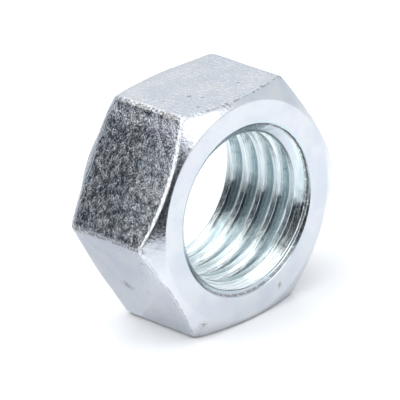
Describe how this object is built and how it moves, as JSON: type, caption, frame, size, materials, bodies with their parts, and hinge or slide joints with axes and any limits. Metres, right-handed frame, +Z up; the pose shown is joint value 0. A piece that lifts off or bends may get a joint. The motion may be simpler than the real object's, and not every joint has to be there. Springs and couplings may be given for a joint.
{
  "type": "hex nut",
  "caption": "Zinc-plated steel hexagon nut with a coarse right-hand thread, a chamfered round bearing face at each end and countersunk thread mouths.",
  "frame": {"origin": "the nut's centre, on the thread's axis, halfway between the two bearing faces", "axes": "+Y along the thread's axis towards the back bearing face, +Z straight up out of the top flat, +X towards a corner; the nut stands on its bottom flat"},
  "size_m": [0.0308, 0.0136, 0.027],
  "materials": {
    "zinc_plate": "bright zinc plate with a clear blue passivate, over cold-formed steel"
  },
  "bodies": {
    "root": {"nut_body": "zinc_plate"}
  },
  "joints": []
}
